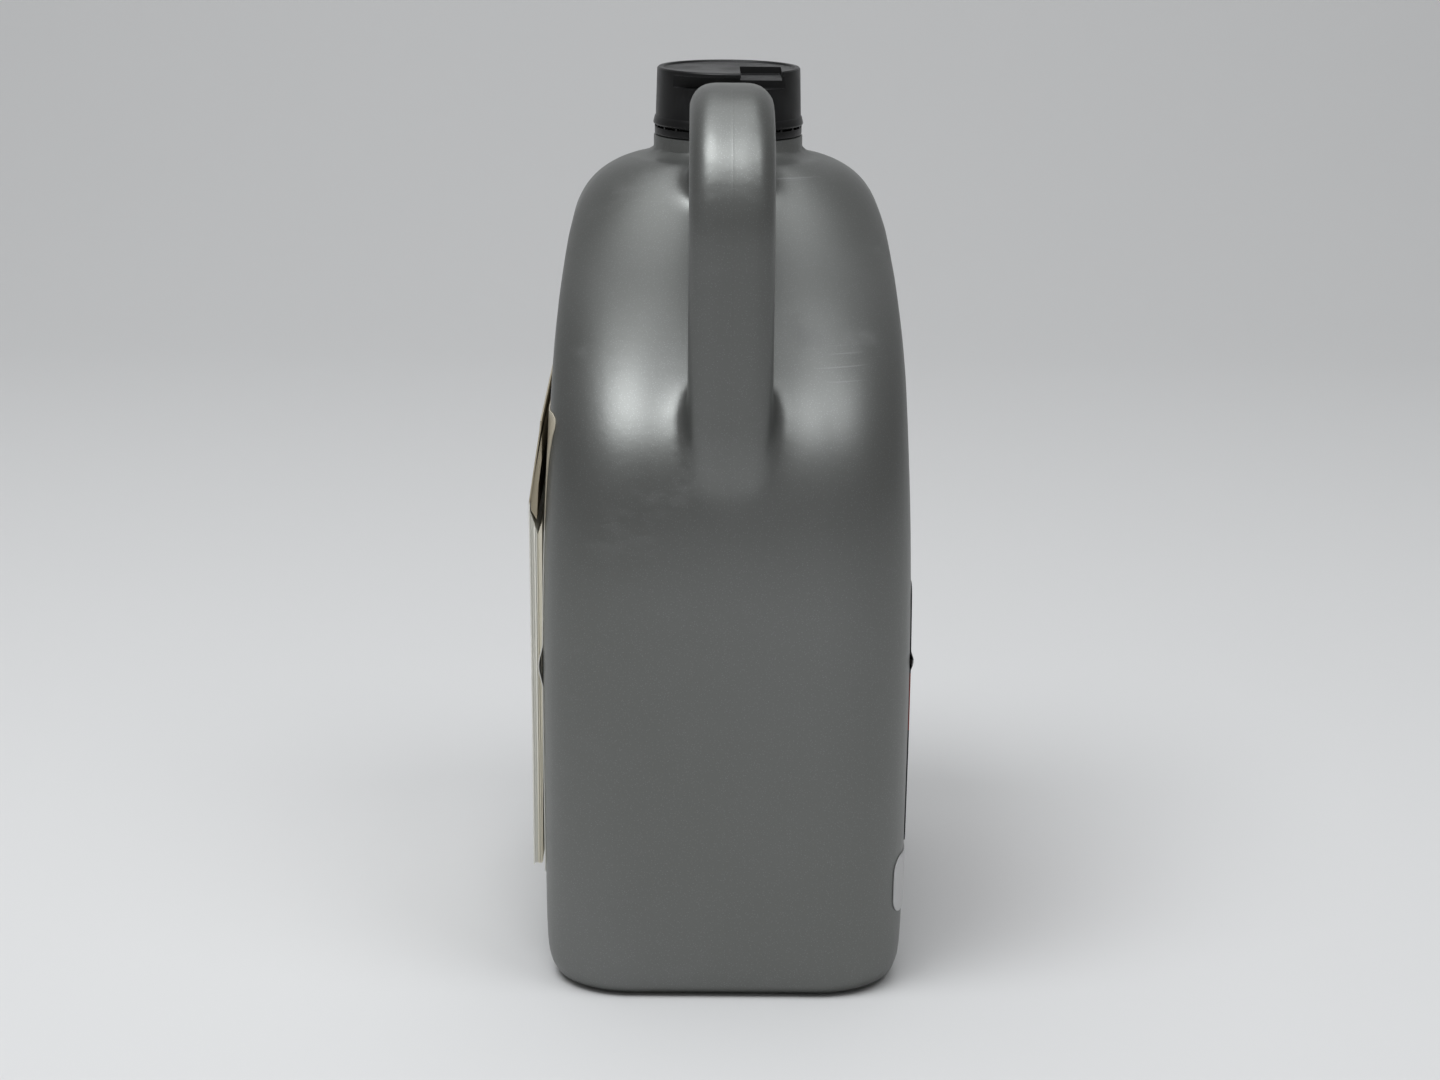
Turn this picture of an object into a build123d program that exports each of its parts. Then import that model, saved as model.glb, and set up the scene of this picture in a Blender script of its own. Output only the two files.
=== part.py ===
"""Four-litre motor oil bottle: a blown bottle with a hollow handle, its screw closure, seals and labels.

Frame: +Z up, origin under the middle of the body's base. The handle is at -X, the neck towards +X,
the booklet label on the +Y face and the front label on the -Y face. Millimetres.
"""

from build123d import *
import math
import os

# ---- blown body ------------------------------------------------------------------------------
body_length = 189.0        # along X, at the widest level
body_depth = 115.2         # along Y, at the widest level
shoulder_top = 248.5       # height of the shoulder at the neck
corner_radius = 28.0       # upright corners, at the widest level
wall = 1.3                 # blown wall of body and handle
neck_x = 46.0              # neck axis, from the body's middle
neck_back = 30.0           # how far the shoulder's top reaches from the neck axis towards the handle
neck_front = 24.0          # and the other way
base_rim = 11.0            # width of the rim that the bottle stands on
base_recess = 1.6          # how far the middle of the base is pushed up

# Levels of the lower body: height, then how far the ends, the broad faces and the corner radius
# stand in from the widest level.
base_levels = [
    (0.0, 7.5, 7.6, 7.0),
    (1.5, 4.0, 4.6, 4.5),
    (5.0, 1.7, 2.6, 3.0),
    (12.0, 0.5, 1.4, 2.0),
    (25.0, 0.4, 0.9, 1.5),
    (60.0, 0.2, 0.4, 1.0),
]
# Levels of the shoulder: depth below its top, then how far the handle end, the neck end and the
# broad faces still stand out, from 0 at the neck to 1 at the widest level, and the corner radius.
shoulder_levels = [
    (98.5, 0.995, 1.000, 0.970, 29.0),
    (73.5, 0.932, 1.000, 0.939, 30.0),
    (53.5, 0.787, 0.980, 0.916, 31.0),
    (38.5, 0.597, 0.910, 0.877, 32.0),
    (26.5, 0.371, 0.776, 0.824, 33.0),
    (14.5, 0.172, 0.571, 0.693, 33.0),
    (6.0, 0.072, 0.306, 0.448, 31.0),
    (2.0, 0.027, 0.122, 0.211, 28.0),
    (0.0, 0.000, 0.000, 0.000, 25.0),
]

# ---- handle: a hollow strap from the end face up and over to the neck ------------------------
handle_rise = 33.5         # shoulder top up to the highest point of the strap
handle_width = 26.0        # along Y
handle_thickness = 19.0    # through the strap
handle_edge = 7.5          # rounding of the strap's long edges
handle_inset = 0.5         # strap's outer face, in from the body's end
handle_bend = 33.0         # centre-line radius of the upper bend
handle_sweep = 48.0        # and of the bend down towards the neck
handle_lead = 90.0         # and of the lower end, as it draws into the end face
handle_slope = 5.0         # fall of the strap from the bend towards the neck, in degrees
handle_root_drop = 98.0    # shoulder top down to where the strap has left the end face
handle_landing = 31.0      # neck axis to where the strap meets the shoulder, along X

# ---- neck finish -----------------------------------------------------------------------------
bore_radius = 18.3
neck_wall = 2.7
thread_depth = 1.3         # height of the thread on the neck
thread_room = 1.5          # neck wall to the cap's wall, where both threads lie
thread_lead = 4.0          # rise for one turn
thread_turns = 1.75        # turns in engagement
thread_run_in = 3.1        # plain length of the skirt above its lip band and thread
bead_height = 1.4          # retaining bead that holds the band down
bead_stand = 1.0           # how far the bead stands out past the groove under it
flange_height = 6.7        # plain lower neck, which the band rests on
flange_stand = 0.3         # how far it stands out past the band
pad_width = 6.0            # round step in the shoulder, out from the lower neck
pad_edge = 2.0             # its rounding

# ---- closure ---------------------------------------------------------------------------------
cap_wall = 1.5
cap_head = 6.0             # ceiling up to the rim of the top plate
lip_band = 2.9             # wider band at the foot of the skirt
plate_thickness = 1.6      # top plate, above the finger recess
plate_dish = 0.6           # how far the plate's middle lies below its rim
plate_rim = 1.8            # width of that rim
recess_height = 3.9        # finger recess under the plate
recess_depth = 8.6         # from the cap's outside to the recess's flat wall
notch_width = 13.8         # pocket in the plate
notch_length = 30.0
notch_depth = 3.0
notch_side = 10.6          # pocket's middle, from the cap's axis, towards -Y
band_height = 2.5          # tamper band
band_wall = 1.9
band_inset = 0.5           # band's outside, in from the cap's lip
bridge_count = 24
bridge_height = 0.7
bridge_length = 0.9        # along the rim
bridge_root = 0.2          # how deep each bridge is rooted in the band
liner_thickness = 1.2
foil_thickness = 0.3

# ---- oil -------------------------------------------------------------------------------------
oil_drop = 42.0            # shoulder top down to the fill level

# ---- labels ----------------------------------------------------------------------------------
label_thickness = 0.3
label_corner = 5.0
back_label_margin = 27.5   # body's end to the label's upright edge
back_label_low = 31.0
back_label_drop = 67.5     # shoulder top down to the label's upper edge
front_label_margin = 25.5
front_label_low = 43.5
front_label_height = 85.0
strip_label_margin = 19.5
strip_label_low = 24.0
strip_label_height = 18.6
strip_label_shift = 6.0    # towards the handle
pages_margin = 3.0         # base label's edge to the booklet's edge
pages_top_drop = 2.0       # base label's upper edge down to the booklet's glued edge
pages_slant = 24.5         # height of the booklet's slanted top
pages_stand = 4.2          # booklet's front, out from the base label at the foot of the slant
pages_foot = 3.0           # and at its lower edge
pages_leaf = 2.3           # thickness of the closed leaves

# ---- fits ------------------------------------------------------------------------------------
fit_gap = 0.1              # between pieces that touch
turn_gap = 0.3             # between pieces that turn past each other

# ---- worked out ------------------------------------------------------------------------------
half_length = body_length / 2
half_depth = body_depth / 2
neck_radius = bore_radius + neck_wall
groove_radius = neck_radius + thread_depth
bead_radius = groove_radius + bead_stand
cap_inner = neck_radius + thread_room
cap_radius = cap_inner + cap_wall
lip_inner = bead_radius + turn_gap + fit_gap
lip_radius = lip_inner + cap_wall
band_radius = lip_radius - band_inset
flange_radius = band_radius + flange_stand
pad_radius = flange_radius + pad_width
neck_half_depth = pad_radius + 0.5

flange_top = shoulder_top + flange_height
band_low = flange_top + turn_gap
band_high = band_low + band_height
bead_low = band_high + turn_gap
bead_high = bead_low + bead_height
lip_z = band_high + bridge_height + fit_gap
ceiling_z = lip_z + lip_band + thread_lead * thread_turns + thread_run_in
cap_top = ceiling_z + cap_head
liner_low = ceiling_z - fit_gap - liner_thickness
mouth_z = liner_low - fit_gap - foil_thickness


def body_level(height, end_low, end_high, half_depth, radius):
    """One level of the body: a rounded rectangle between end_low and end_high along X."""
    place = Plane(origin=((end_low + end_high) / 2, 0, height))
    return place * RectangleRounded(end_high - end_low, 2 * half_depth, radius)


def body_form(inset=0.0):
    """The blown body up to the shoulder top, drawn in by inset on every side."""
    levels = [
        (height, ends - half_length, half_length - ends, half_depth - faces, corner_radius - less)
        for height, ends, faces, less in base_levels
    ]
    first_shoulder = shoulder_top - shoulder_levels[0][0]
    widest = (base_levels[-1][0] + first_shoulder) / 2
    levels.append((widest, -half_length, half_length, half_depth, corner_radius))
    for drop, handle_end, neck_end, faces, radius in shoulder_levels:
        low = (neck_x - neck_back) * (1 - handle_end) - half_length * handle_end
        high = (neck_x + neck_front) * (1 - neck_end) + half_length * neck_end
        half = neck_half_depth * (1 - faces) + half_depth * faces
        levels.append((shoulder_top - drop, low, high, half, radius))
    squeeze = (shoulder_top - 2 * inset) / shoulder_top
    return loft([
        body_level(inset + height * squeeze, low + inset, high - inset, half - inset, radius - inset)
        for height, low, high, half, radius in levels
    ])


def handle_form(inset=0.0):
    """The strap, from inside the end face up, over and down into the shoulder."""
    back = handle_inset + handle_thickness / 2 - half_length
    root = shoulder_top - handle_root_drop
    crest = shoulder_top + handle_rise - handle_thickness / 2
    landing = neck_x - handle_landing
    turn = math.pi / 2 + math.radians(handle_slope)
    corner = crest - handle_bend + handle_bend * math.tan(turn / 2)
    points = [
        (back + 14, root - 34),
        (back, root + 20),
        (back, corner),
        (landing - 26, corner - (landing - 26 - back) * math.tan(math.radians(handle_slope))),
        (landing + 1, shoulder_top - 14),
    ]
    with BuildLine(Plane.XZ) as route:
        FilletPolyline(*points, radius=[handle_lead, handle_bend, handle_sweep])
    start = route.line @ 0
    section = Plane(origin=start, x_dir=(0, 1, 0), z_dir=route.line % 0)
    return sweep(
        section * RectangleRounded(
            handle_width - 2 * inset, handle_thickness - 2 * inset, handle_edge - inset
        ),
        path=route.line,
    )


def ring(outer, inner, low, high):
    """A plain ring about the neck axis."""
    tube = Plane(origin=(neck_x, 0, low)) * (Circle(outer) - Circle(inner))
    return extrude(tube, high - low)


def disc(radius, low, high):
    """A plain disc about the neck axis."""
    return extrude(Plane(origin=(neck_x, 0, low)) * Circle(radius), high - low)


def turned(points):
    """A solid turned about the neck axis from (radius, height) points."""
    outline = make_face(Polyline(*[(neck_x + r, 0, z) for r, z in points], close=True))
    return revolve(outline, Axis((neck_x, 0, 0), (0, 0, 1)), 360)


def neck_form():
    """Outside of the neck: step in the shoulder, flange, groove, retaining bead, thread wall."""
    foot = shoulder_top - 12
    return turned([
        (0, foot), (pad_radius, foot), (pad_radius, shoulder_top - pad_edge),
        (pad_radius - pad_edge * 0.3, shoulder_top - pad_edge * 0.3),
        (pad_radius - pad_edge, shoulder_top), (flange_radius + 1.2, shoulder_top),
        (flange_radius, shoulder_top + 1.2), (flange_radius, flange_top - 0.4),
        (flange_radius - 0.4, flange_top), (groove_radius, flange_top),
        (groove_radius, bead_low), (bead_radius, bead_low), (bead_radius, bead_low + 0.5),
        (neck_radius, bead_high), (neck_radius, mouth_z - 0.6), (neck_radius - 0.6, mouth_z),
        (0, mouth_z),
    ])


def base_push(grow):
    """The shallow push-up of the base, grown by the given amount sideways and upwards."""
    _, ends, faces, less = base_levels[0]
    length = 2 * (half_length - ends - base_rim + grow)
    depth = 2 * (half_depth - faces - base_rim + grow)
    radius = corner_radius - less - base_rim + grow
    height = base_recess + grow
    low = Plane.XY * RectangleRounded(length, depth, radius)
    high = Plane(origin=(0, 0, height)) * RectangleRounded(
        length - 2 * height, depth - 2 * height, radius - height / 2
    )
    return loft([low, high])


def make_bottle():
    """The blown bottle: one hollow moulding of body, handle and neck."""
    outside = body_form() + handle_form() + neck_form() - base_push(0)
    cavity = body_form(wall) + handle_form(wall) + disc(bore_radius, shoulder_top - 20, mouth_z + 1)
    return outside - (cavity - base_push(wall))


def make_oil():
    """The oil, just clear of the bottle's wall, up to the fill level."""
    inset = wall + fit_gap
    level = shoulder_top - oil_drop
    below = Box(2 * body_length, 2 * body_depth, level, align=(Align.CENTER, Align.CENTER, Align.MIN))
    return (body_form(inset) + handle_form(inset)) & below - base_push(inset)


def make_cap():
    """The cap: flared skirt, finger recess under the top plate, and a pocket in the plate."""
    band_top = lip_z + lip_band
    cap = turned([
        (0, ceiling_z), (cap_inner, ceiling_z), (cap_inner, band_top), (lip_inner, band_top - 0.6),
        (lip_inner, lip_z), (lip_radius - 0.2, lip_z), (lip_radius, lip_z + 0.5),
        (lip_radius - 0.5, band_top - 0.3), (lip_radius - 0.8, band_top),
        (cap_radius, cap_top - 0.5), (cap_radius - 0.5, cap_top), (cap_radius - plate_rim, cap_top),
        (cap_radius - plate_rim - 0.5, cap_top - plate_dish), (0, cap_top - plate_dish),
    ])
    reach = 2 * lip_radius
    recess_low = cap_top - plate_thickness - recess_height
    recess = Pos(neck_x - cap_radius + recess_depth, 0, recess_low) * Box(
        reach, 2 * reach, recess_height, align=(Align.MAX, Align.CENTER, Align.MIN)
    )
    notch = Pos(neck_x - cap_radius + notch_length, -notch_side, cap_top - notch_depth) * Box(
        reach, notch_width, cap_head, align=(Align.MAX, Align.CENTER, Align.MIN)
    )
    return cap - recess - notch


def make_band():
    """The tamper band, with the bridges that join it to the cap until the first opening."""
    band = ring(band_radius, band_radius - band_wall, band_low, band_high)
    bridge = Box(
        bridge_height, bridge_length, bridge_height + bridge_root,
        align=(Align.MAX, Align.CENTER, Align.MIN),
    )
    for index in range(bridge_count):
        turn = 360 * (index + 0.5) / bridge_count
        place = Pos(neck_x, 0, band_high - bridge_root) * Rot(0, 0, turn) * Pos(band_radius - 0.3, 0, 0)
        band += place * bridge
    return band


def label_panel(side, margin, low, height, shift=0.0):
    """The space of one label: a rounded rectangle that runs out through a broad face."""
    outline = RectangleRounded(body_length - 2 * margin, height, label_corner)
    place = Plane(origin=(-shift, 0, low + height / 2), x_dir=(1, 0, 0), z_dir=(0, side, 0))
    return extrude(place * outline, body_depth)


def make_label(side, margin, low, height, shift=0.0):
    """A thin label that lies on a broad face and follows its curve."""
    under = fit_gap / 2
    layer = body_form(-label_thickness - under) - body_form(-under)
    return layer & label_panel(side, margin, low, height, shift)


def make_booklet():
    """The booklet: closed leaves with a slanted top, glued along their top edge to the base label."""
    face = half_depth + label_thickness + fit_gap
    top = shoulder_top - back_label_drop - pages_top_drop
    fold = top - pages_slant
    low = back_label_low + pages_margin
    sunk = face - 4
    outline = [
        (sunk, top), (face + 0.2, top), (face + pages_stand, fold), (face + pages_foot, low),
        (face + pages_foot - pages_leaf, low), (face + pages_stand - pages_leaf, fold - 14),
        (face + 0.4, top - 9), (sunk, top - 6),
    ]
    edge = back_label_margin + pages_margin - half_length
    leaves = make_face(Polyline(*[(edge, y, z) for y, z in outline], close=True))
    block = extrude(leaves, -2 * edge, dir=(1, 0, 0))
    return block - body_form(-label_thickness - fit_gap)


def main():
    back_label_height = shoulder_top - back_label_drop - back_label_low
    pieces = {
        "bottle": make_bottle(),
        "oil": make_oil(),
        "cap": make_cap(),
        "tamper_band": make_band(),
        "cap_liner": disc(cap_inner - turn_gap, liner_low, liner_low + liner_thickness),
        "mouth_foil": disc(neck_radius - turn_gap, mouth_z, mouth_z + foil_thickness),
        "back_label": make_label(1, back_label_margin, back_label_low, back_label_height),
        "booklet": make_booklet(),
        "front_label": make_label(-1, front_label_margin, front_label_low, front_label_height),
        "strip_label": make_label(
            -1, strip_label_margin, strip_label_low, strip_label_height, strip_label_shift
        ),
    }
    # The booklet stands out on one face only: half of that moves everything back, so that the
    # origin lies under the middle of the whole.
    centred = Location((0, -pages_stand / 2, 0))
    os.makedirs("parts", exist_ok=True)
    for name, piece in pieces.items():
        print(name, "volume", round(piece.volume / 1000, 2), "ml")
        export_step(centred * piece, f"parts/{name}.step")


main()
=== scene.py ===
"""Looks of a four-litre motor oil bottle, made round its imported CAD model."""

import math

import bmesh
import bpy
import numpy as np
from bpy.props import FloatProperty, FloatVectorProperty, IntProperty, PointerProperty
from mathutils import Matrix, Vector
from mathutils.bvhtree import BVHTree


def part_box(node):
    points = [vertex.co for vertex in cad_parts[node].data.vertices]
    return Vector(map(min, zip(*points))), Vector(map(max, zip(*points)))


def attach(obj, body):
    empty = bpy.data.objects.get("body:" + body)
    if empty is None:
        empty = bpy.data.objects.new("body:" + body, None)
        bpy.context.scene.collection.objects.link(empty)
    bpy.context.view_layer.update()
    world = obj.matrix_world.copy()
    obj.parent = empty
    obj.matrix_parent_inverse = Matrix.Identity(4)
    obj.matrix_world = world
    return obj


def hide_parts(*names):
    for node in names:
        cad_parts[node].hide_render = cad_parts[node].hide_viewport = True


bl_info = {
    "name": "Motor oil bottle",
    "version": (1, 0, 0),
    "blender": (4, 5, 0),
    "location": "View3D > Sidebar > Oil Bottle",
    "description": "Makes the visible pieces of a blown oil bottle round its CAD model",
    "category": "Object",
}

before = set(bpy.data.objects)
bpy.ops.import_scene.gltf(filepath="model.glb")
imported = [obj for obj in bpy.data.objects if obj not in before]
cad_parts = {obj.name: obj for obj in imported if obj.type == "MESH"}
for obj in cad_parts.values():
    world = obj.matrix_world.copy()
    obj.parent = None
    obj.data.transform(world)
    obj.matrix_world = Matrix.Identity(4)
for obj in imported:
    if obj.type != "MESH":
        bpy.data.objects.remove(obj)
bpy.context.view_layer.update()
MM = 0.001

# ---- places read from the frame --------------------------------------------------------------
CAP_LOW, CAP_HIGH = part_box("cap")
BAND_LOW, BAND_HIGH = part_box("tamper_band")
FOIL_LOW, FOIL_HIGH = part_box("mouth_foil")
BODY_LOW, BODY_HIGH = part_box("bottle")
NECK = (CAP_LOW + CAP_HIGH) / 2          # on the neck's axis
MIDDLE_Y = NECK.y                        # the mould's parting plane
TURN_GAP = 0.3 * MM                      # between pieces that turn past each other
THREAD_DEPTH = 1.3 * MM                  # height of the thread on the neck
THREAD_ROOM = 1.5 * MM                   # neck wall to the cap's wall, where both threads lie
THREAD_LOW = CAP_LOW.z + 2.6 * MM        # where the neck's thread begins
BEAD_STAND = 1.0 * MM                    # how far the retaining bead stands out past its groove
BAND_RADIUS = (BAND_HIGH.x - BAND_LOW.x) / 2
NECK_RADIUS = (FOIL_HIGH.x - FOIL_LOW.x) / 2 + TURN_GAP
MOUTH_Z = FOIL_LOW.z


# ---- settings --------------------------------------------------------------------------------
def colour_setting(name, description, default):
    """A colour."""
    return FloatVectorProperty(
        name=name, description=description, subtype="COLOR", size=3, default=default)


def length_setting(name, description, default):
    """A length in metres."""
    return FloatProperty(name=name, description=description, unit="LENGTH", default=default)


def power_setting(name, description, default):
    """A lamp's power in watts."""
    return FloatProperty(name=name, description=description, unit="POWER", default=default)


def angle_setting(name, description, degrees):
    """An angle, written in degrees."""
    return FloatProperty(
        name=name, description=description, subtype="ANGLE", default=math.radians(degrees))


class StageSettings(bpy.types.PropertyGroup):
    """Floor, light and camera."""

    floor_colour: colour_setting(
        "Floor colour", "Colour of the floor and backdrop", (0.70, 0.70, 0.70))
    key_power: power_setting(
        "Key light", "Power of the large soft light high over the left side", 15.0)
    fill_power: power_setting(
        "Fill light", "Power of the soft light high over the right side", 7.0)
    front_power: power_setting(
        "Front light", "Power of the soft light above the camera", 4.5)
    top_power: power_setting(
        "Top light", "Power of the large soft light overhead", 9.0)
    light_colour: colour_setting(
        "Light colour", "Cool tint of the soft lights", (0.96, 0.98, 1.0))
    ambient: FloatProperty(
        name="Ambient", description="Strength of the plain light from all round",
        min=0.0, default=0.22)
    camera_distance: length_setting(
        "Camera distance", "From the object's upright axis to the camera", 1.0619)
    camera_height: length_setting(
        "Camera height", "Height of the camera above the floor", 0.388)
    camera_side: length_setting(
        "Camera side step", "Camera to the left of the parting plane", 0.0129)
    camera_pitch: angle_setting(
        "Camera pitch", "How far the camera looks down", 13.875)
    camera_turn: angle_setting(
        "Camera turn", "How far the camera is turned to the right", 0.6)
    camera_roll: angle_setting(
        "Camera roll", "How far the camera is tilted anticlockwise", 0.6)
    lens: FloatProperty(
        name="Lens", description="Focal length in millimetres on a 36 mm sensor",
        min=1.0, default=82.25)


class BottleSettings(bpy.types.PropertyGroup):
    """The blown bottle."""

    colour: colour_setting(
        "Colour", "Colour of the bottle's plastic", (0.165, 0.170, 0.162))
    fleck_colour: colour_setting(
        "Fleck colour", "Colour of the bright flecks in the plastic", (0.30, 0.305, 0.31))
    grain: length_setting(
        "Skin grain", "Size of the facets of the outer skin", 1.8 * MM)
    blend_steps: IntProperty(
        name="Blend steps", description="How often hollow creases are filled at the handle's roots",
        min=0, default=24)
    flange_stand: length_setting(
        "Flange stand", "How far the neck's foot stands out past the band", 0.3 * MM)
    neck_wall: length_setting(
        "Neck wall", "Thickness of the neck", 2.7 * MM)
    thread_lead: length_setting(
        "Thread lead", "Rise of the thread in one turn", 4.0 * MM)
    thread_turns: FloatProperty(
        name="Thread turns", description="Turns of the thread on the neck",
        min=0.5, default=1.75)
    thread_ridge: length_setting(
        "Thread ridge", "Half the height of the thread's round ridge", 0.9 * MM)
    thread_sunk: length_setting(
        "Thread sunk", "How far the ridge's middle lies above the wall", 0.3 * MM)


class ClosureSettings(bpy.types.PropertyGroup):
    """Cap, tamper band and seals."""

    colour: colour_setting(
        "Colour", "Colour of the cap and band", (0.0045, 0.0045, 0.0048))
    edge_radius: length_setting(
        "Edge radius", "Rounding of the cap's edges", 0.28 * MM)
    cap_thread_turns: FloatProperty(
        name="Cap thread turns", description="Turns of the thread inside the cap",
        min=0.5, default=1.25)
    band_wall: length_setting(
        "Band wall", "Thickness of the tamper band", 1.9 * MM)
    band_height: length_setting(
        "Band height", "Height of the tamper band without its bridges", 2.5 * MM)
    bridge_count: IntProperty(
        name="Bridges", description="Number of bridges on the tamper band",
        min=3, default=24)
    bridge_length: length_setting(
        "Bridge length", "Length of a bridge along the rim", 0.9 * MM)
    bridge_width: length_setting(
        "Bridge width", "Thickness of a bridge across the rim", 0.9 * MM)
    liner_colour: colour_setting(
        "Liner colour", "Colour of the wad inside the cap", (0.74, 0.71, 0.64))
    foil_colour: colour_setting(
        "Foil colour", "Colour of the induction seal", (0.82, 0.82, 0.81))
    oil_colour: colour_setting(
        "Oil colour", "Colour of the oil", (0.50, 0.27, 0.05))


class LabelSettings(bpy.types.PropertyGroup):
    """Labels and booklet."""

    paper_colour: colour_setting(
        "Paper colour", "Colour of the labels' pale paper", (0.90, 0.89, 0.83))
    page_colour: colour_setting(
        "Page colour", "Colour of the booklet's inner leaves", (0.80, 0.76, 0.64))
    # Brown-grey painted shade on the booklet's slanted flap, the gusset behind it and the base
    # label's strip behind it
    flap_shade_colour: colour_setting(
        "Flap shade colour", "Colour of the booklet's slanted glued flap", (0.42, 0.37, 0.27))
    front_colour: colour_setting(
        "Front colour", "Colour of the dark front label", (0.020, 0.021, 0.023))
    accent_colour: colour_setting(
        "Accent colour", "Colour of the plain fields on the labels", (0.33, 0.055, 0.035))
    strip_colour: colour_setting(
        "Strip colour", "Colour of the silvery strip", (0.56, 0.56, 0.56))
    sheet_thickness: length_setting(
        "Sheet thickness", "Thickness of a label", 0.3 * MM)
    sheet_gap: length_setting(
        "Sheet gap", "Glue between a label and the bottle", 0.1 * MM)
    corner: length_setting(
        "Corner", "Radius of the labels' corners", 5.0 * MM)
    lift: length_setting(
        "Lifted edge", "How far the base label's edge has come away", 1.3 * MM)
    lift_height: length_setting(
        "Lifted edge height", "Middle of the place where it has come away", 101.0 * MM)
    leaf_count: IntProperty(
        name="Leaves", description="Number of the booklet's inner leaves",
        min=2, default=10)
    slant: length_setting(
        "Slant", "Height of the booklet's slanted glued flap", 24.5 * MM)
    stand: length_setting(
        "Stand", "Booklet's front, out from the base label at its fold", 4.2 * MM)
    foot: length_setting(
        "Foot", "Booklet's front, out from the base label at its foot", 3.0 * MM)


# ---- shader maths ----------------------------------------------------------------------------
class Term:
    """A shader socket that can be used in a sum, so that maths on it reads as Python."""

    def __init__(self, finish, socket):
        self.finish, self.socket = finish, socket

    def maths(self, operation, *values):
        made = self.finish.node("ShaderNodeMath", {"operation": operation}, dict(enumerate(values)))
        return Term(self.finish, made.outputs[0])

    def __add__(self, other):
        return self.maths("ADD", self, other)

    def __sub__(self, other):
        return self.maths("SUBTRACT", self, other)

    def __rsub__(self, other):
        return self.maths("SUBTRACT", other, self)

    def __mul__(self, other):
        return self.maths("MULTIPLY", self, other)

    def __abs__(self):
        return self.maths("ABSOLUTE", self)

    __radd__ = __add__
    __rmul__ = __mul__

    def rise(self, low, high):
        """0 below low, 1 above high and smooth between; the other way round where low > high."""
        made = self.finish.node(
            "ShaderNodeMapRange", {"interpolation_type": "SMOOTHSTEP"},
            {"Value": self, "From Min": low, "From Max": high})
        return Term(self.finish, made.outputs[0])

    def within(self, low, high, soft):
        """1 between low and high, with soft edges."""
        return self.rise(low - soft, low + soft) * self.rise(high + soft, high - soft)


class Finish:
    """A procedural material on a Principled shader."""

    def __init__(self, name, **constants):
        self.material = bpy.data.materials.new(name)
        self.material.use_nodes = True
        self.tree = self.material.node_tree
        self.shader = self.tree.nodes["Principled BSDF"]
        for socket, value in constants.items():
            self.shader.inputs[self.spoken(socket)].default_value = value
        place = self.node("ShaderNodeTexCoord").outputs["Object"]
        self.place = Term(self, place)
        split = self.node("ShaderNodeSeparateXYZ", None, {0: self.place})
        self.x, self.y, self.z = (Term(self, out) for out in split.outputs)

    def node(self, kind, settings=None, values=None):
        """One node: its type, its settings first, then values or links of its sockets."""
        made = self.tree.nodes.new(kind)
        for key, value in (settings or {}).items():
            setattr(made, key, value)
        for key, value in (values or {}).items():
            if isinstance(value, Term):
                self.tree.links.new(value.socket, made.inputs[key])
            else:
                made.inputs[key].default_value = value
        return made

    @staticmethod
    def spoken(socket):
        """A shader socket's own name for a keyword."""
        return socket.replace("_", " ").title().replace("Ior", "IOR")

    def feed(self, **sockets):
        """Links terms to the shader's own sockets."""
        for name, term in sockets.items():
            self.tree.links.new(term.socket, self.shader.inputs[self.spoken(name)])
        return self

    def mix(self, share, first, second):
        """A colour between two colours."""
        first, second = (
            (*c, 1.0) if not isinstance(c, Term) and len(c) == 3 else c for c in (first, second))
        made = self.node(
            "ShaderNodeMix", {"data_type": "RGBA"}, {0: share, 6: first, 7: second})
        return Term(self, made.outputs[2])

    def stretched(self, factors):
        """Object coordinates multiplied on each axis."""
        made = self.node(
            "ShaderNodeVectorMath", {"operation": "MULTIPLY"}, {0: self.place, 1: factors})
        return Term(self, made.outputs[0])

    def noise(self, scale, detail=2.0, rough=0.5, place=None):
        made = self.node("ShaderNodeTexNoise", None, {
            "Vector": place or self.place, "Scale": scale, "Detail": detail, "Roughness": rough})
        return Term(self, made.outputs[0])

    def cells(self, scale, place=None):
        made = self.node(
            "ShaderNodeTexVoronoi", None, {"Vector": place or self.place, "Scale": scale})
        return Term(self, made.outputs[0])

    def streaks(self, factors, edge, share):
        """Short straight scratches: the peaks of a drawn-out noise, kept in a few patches."""
        line = self.noise(1.0, 1.0, 0.4, self.stretched(factors)).rise(edge, edge + 0.05)
        return line * self.noise(14.0, 1.0).rise(share, share + 0.08)

    def bump(self, height, depth):
        """Feeds a height of 0 to 1, depth metres deep, to the shader's normal."""
        made = self.node("ShaderNodeBump", None, {"Height": height, "Distance": depth})
        return self.feed(normal=Term(self, made.outputs[0]))


# ---- mesh helpers ----------------------------------------------------------------------------
def added(name, mesh):
    """An object for a mesh, at the origin."""
    piece = bpy.data.objects.new(name, mesh)
    bpy.context.scene.collection.objects.link(piece)
    return piece


def from_bmesh(name, bm):
    mesh = bpy.data.meshes.new(name)
    bm.to_mesh(mesh)
    bm.free()
    return added(name, mesh)


def from_lists(name, points, faces):
    """A piece from points and faces, merged and turned outwards."""
    mesh = bpy.data.meshes.new(name)
    mesh.from_pydata([tuple(p) for p in points], [], faces)
    bm = bmesh.new()
    bm.from_mesh(mesh)
    bpy.data.meshes.remove(mesh)
    bmesh.ops.remove_doubles(bm, verts=bm.verts, dist=1e-6)
    bmesh.ops.recalc_face_normals(bm, faces=bm.faces)
    return from_bmesh(name, bm)


def turned(name, profile, segments=160):
    """A closed profile of (radius, height) turned round the neck's axis."""
    points, faces, count = [], [], len(profile)
    for step in range(segments):
        turn = 2 * math.pi * step / segments
        for radius, height in profile:
            points.append(
                (NECK.x + radius * math.cos(turn), NECK.y + radius * math.sin(turn), height))
    for step in range(segments):
        here, there = step * count, (step + 1) % segments * count
        for i in range(count):
            j = (i + 1) % count
            faces.append((here + i, there + i, there + j, here + j))
    return from_lists(name, points, faces)


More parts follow.
